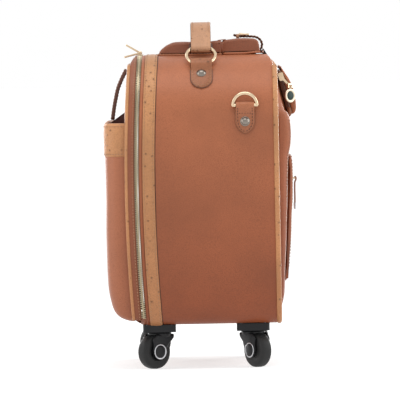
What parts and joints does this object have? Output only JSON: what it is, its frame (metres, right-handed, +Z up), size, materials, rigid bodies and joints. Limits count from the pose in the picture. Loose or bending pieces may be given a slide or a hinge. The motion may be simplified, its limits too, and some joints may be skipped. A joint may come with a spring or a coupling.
{
  "type": "pilot rolling flight case",
  "caption": "Upright soft leather wheeled cabin case with clamshell front door, slip pocket, zipped back pockets, flap top, carry handle, telescoping trolley and spinner wheels.",
  "frame": {"origin": "centre of the bounding box at floor level, under the wheels", "axes": "+Z up, -X the clamshell front with the slip pocket, +X the back with the trolley, Y across the width"},
  "size_m": [0.2586, 0.4194, 0.4615],
  "materials": {
    "leather": "satin, fine cross grain",
    "embossed_leather": "satin, quill bumps",
    "dark_leather": "satin",
    "gold_metal": "polished, pale gold",
    "lining_fabric": "matt, dark maroon",
    "black_plastic": "satin moulded",
    "aluminium": "anodised",
    "steel": "satin",
    "tyre": "matt"
  },
  "bodies": {
    "case": {"body_shell": "leather", "base_board": "black_plastic", "base_skid": "black_plastic", "body_lining": "lining_fabric", "mouth_frame": "black_plastic", "ostrich_band": "embossed_leather", "body_zip_tape": "dark_leather", "body_zip_chain": "gold_metal", "back_board": "dark_leather", "back_piping": "embossed_leather", "back_pocket_body": "leather", "lower_back_pocket": "leather", "lower_pocket_zip": "gold_metal", "visor_zip_tape": "lining_fabric", "hood_base": "leather", "handle_tabs": "embossed_leather", "handle_rings": "gold_metal", "side_tabs": "embossed_leather", "tab_rivets": "gold_metal", "trolley_bezel": "black_plastic", "trolley_outer_tubes": "aluminium", "caster_housings": "black_plastic", "caster_screws": "steel"},
    "door": {"door_panel": "leather", "door_gusset": "leather", "door_piping": "embossed_leather", "door_zip_tape": "dark_leather", "door_zip_chain": "gold_metal", "front_pocket": "leather", "pocket_band": "embossed_leather", "pocket_gussets": "lining_fabric"},
    "closure": {"closure_strap": "dark_leather"},
    "top_flap": {"hood_flap": "leather", "belt_strap": "embossed_leather", "belt_buckle": "gold_metal"},
    "handle": {"carry_strap": "embossed_leather"},
    "near_d_ring": {"near_ring": "gold_metal"},
    "far_d_ring": {"far_ring": "gold_metal"},
    "trolley_lower": {"trolley_middle_tubes": "aluminium"},
    "trolley_upper": {"trolley_inner_tubes": "aluminium", "trolley_grip": "black_plastic"},
    "button": {"trolley_button": "steel"},
    "near_zip": {"near_slider": "gold_metal"},
    "near_zip_pull": {"near_pull": "gold_metal"},
    "far_zip": {"far_slider": "gold_metal"},
    "far_zip_pull": {"far_pull": "gold_metal"},
    "visor": {"visor_flap": "leather"},
    "visor_zip": {"visor_slider": "gold_metal"},
    "medallion": {"visor_medallion": "gold_metal"},
    "back_zip": {"pocket_slider": "gold_metal"},
    "back_zip_pull": {"pocket_pull": "dark_leather"},
    "front_near_caster": {"front_near_fork": "black_plastic"},
    "front_near_roller": {"front_near_wheel": "tyre"},
    "front_far_caster": {"front_far_fork": "black_plastic"},
    "front_far_roller": {"front_far_wheel": "tyre"},
    "back_near_caster": {"back_near_fork": "black_plastic"},
    "back_near_roller": {"back_near_wheel": "tyre"},
    "back_far_caster": {"back_far_fork": "black_plastic"},
    "back_far_roller": {"back_far_wheel": "tyre"}
  },
  "joints": [
    {"name": "door_hinge", "type": "hinge", "parent": "case", "child": "door", "pos_m": [-0.079, 0, 0.062], "axis": [0, -1, 0], "range_deg": [0, 80]},
    {"name": "closure_strap_lift", "type": "hinge", "parent": "door", "child": "closure", "pos_m": [-0.0986, 0, 0.3995], "axis": [0, 1, 0], "range_deg": [0, 100]},
    {"name": "top_flap_hinge", "type": "hinge", "parent": "case", "child": "top_flap", "pos_m": [0.0312, 0, 0.4362], "axis": [0, -1, 0], "range_deg": [0, 90]},
    {"name": "handle_swing", "type": "hinge", "parent": "case", "child": "handle", "pos_m": [0.003, 0, 0.41707], "axis": [0, 1, 0], "range_deg": [-6, 6]},
    {"name": "near_d_ring_hinge", "type": "hinge", "parent": "case", "child": "near_d_ring", "pos_m": [0.06, -0.205, 0.35], "axis": [1, 0, 0], "range_deg": [0, 150]},
    {"name": "far_d_ring_hinge", "type": "hinge", "parent": "case", "child": "far_d_ring", "pos_m": [0.06, 0.205, 0.35], "axis": [-1, 0, 0], "range_deg": [0, 150]},
    {"name": "trolley_lower_slide", "type": "slide", "parent": "case", "child": "trolley_lower", "axis": [0, 0, 1], "range_m": [0, 0.27]},
    {"name": "trolley_upper_slide", "type": "slide", "parent": "trolley_lower", "child": "trolley_upper", "axis": [0, 0, 1], "range_m": [0, 0.27]},
    {"name": "trolley_button_press", "type": "slide", "parent": "trolley_upper", "child": "button", "axis": [0, 0, -1], "range_m": [0, 0.0025], "stiffness_N_per_m": 500},
    {"name": "near_zip_slide", "type": "slide", "parent": "case", "child": "near_zip", "axis": [0, -1, 0], "range_m": [0, 0.09]},
    {"name": "near_zip_pull_hinge", "type": "hinge", "parent": "near_zip", "child": "near_zip_pull", "pos_m": [-0.07918, -0.008, 0.4214], "axis": [0, 1, 0], "range_deg": [0, 130]},
    {"name": "far_zip_slide", "type": "slide", "parent": "case", "child": "far_zip", "axis": [0, 1, 0], "range_m": [0, 0.09]},
    {"name": "far_zip_pull_hinge", "type": "hinge", "parent": "far_zip", "child": "far_zip_pull", "pos_m": [-0.07918, 0.008, 0.4214], "axis": [0, 1, 0], "range_deg": [-44, 90]},
    {"name": "visor_hinge", "type": "hinge", "parent": "case", "child": "visor", "pos_m": [0.1075, 0, 0.3985], "axis": [0, -1, 0], "range_deg": [0, 75]},
    {"name": "visor_zip_slide", "type": "slide", "parent": "case", "child": "visor_zip", "axis": [0.2474, 0, -0.9689], "range_m": [0, 0.034]},
    {"name": "medallion_hinge", "type": "hinge", "parent": "visor_zip", "child": "medallion", "pos_m": [0.1213, -0.1354, 0.3725], "axis": [-0.7314, -0.682, 0], "range_deg": [0, 80]},
    {"name": "back_zip_slide", "type": "slide", "parent": "case", "child": "back_zip", "axis": [0, 1, 0], "range_m": [-0.09, 0.09]},
    {"name": "back_zip_pull_hinge", "type": "hinge", "parent": "back_zip", "child": "back_zip_pull", "pos_m": [0.1268, 0, 0.248], "axis": [0, -1, 0], "range_deg": [0, 90]},
    {"name": "front_near_swivel", "type": "hinge", "parent": "case", "child": "front_near_caster", "pos_m": [-0.0593, -0.16, 0.05], "axis": [0, 0, 1], "continuous": true},
    {"name": "front_near_roll", "type": "hinge", "parent": "front_near_caster", "child": "front_near_roller", "pos_m": [-0.06707, -0.16629, 0.023], "axis": [-0.6293, 0.7771, 0], "continuous": true},
    {"name": "front_far_swivel", "type": "hinge", "parent": "case", "child": "front_far_caster", "pos_m": [-0.0593, 0.16, 0.05], "axis": [0, 0, 1], "continuous": true},
    {"name": "front_far_roll", "type": "hinge", "parent": "front_far_caster", "child": "front_far_roller", "pos_m": [-0.06707, 0.15371, 0.023], "axis": [-0.6293, 0.7771, 0], "continuous": true},
    {"name": "back_near_swivel", "type": "hinge", "parent": "case", "child": "back_near_caster", "pos_m": [0.0658, -0.16, 0.05], "axis": [0, 0, 1], "continuous": true},
    {"name": "back_near_roll", "type": "hinge", "parent": "back_near_caster", "child": "back_near_roller", "pos_m": [0.07132, -0.16834, 0.023], "axis": [-0.8339, -0.5519, 0], "continuous": true},
    {"name": "back_far_swivel", "type": "hinge", "parent": "case", "child": "back_far_caster", "pos_m": [0.0658, 0.16, 0.05], "axis": [0, 0, 1], "continuous": true},
    {"name": "back_far_roll", "type": "hinge", "parent": "back_far_caster", "child": "back_far_roller", "pos_m": [0.07132, 0.15166, 0.023], "axis": [-0.8339, -0.5519, 0], "continuous": true}
  ]
}
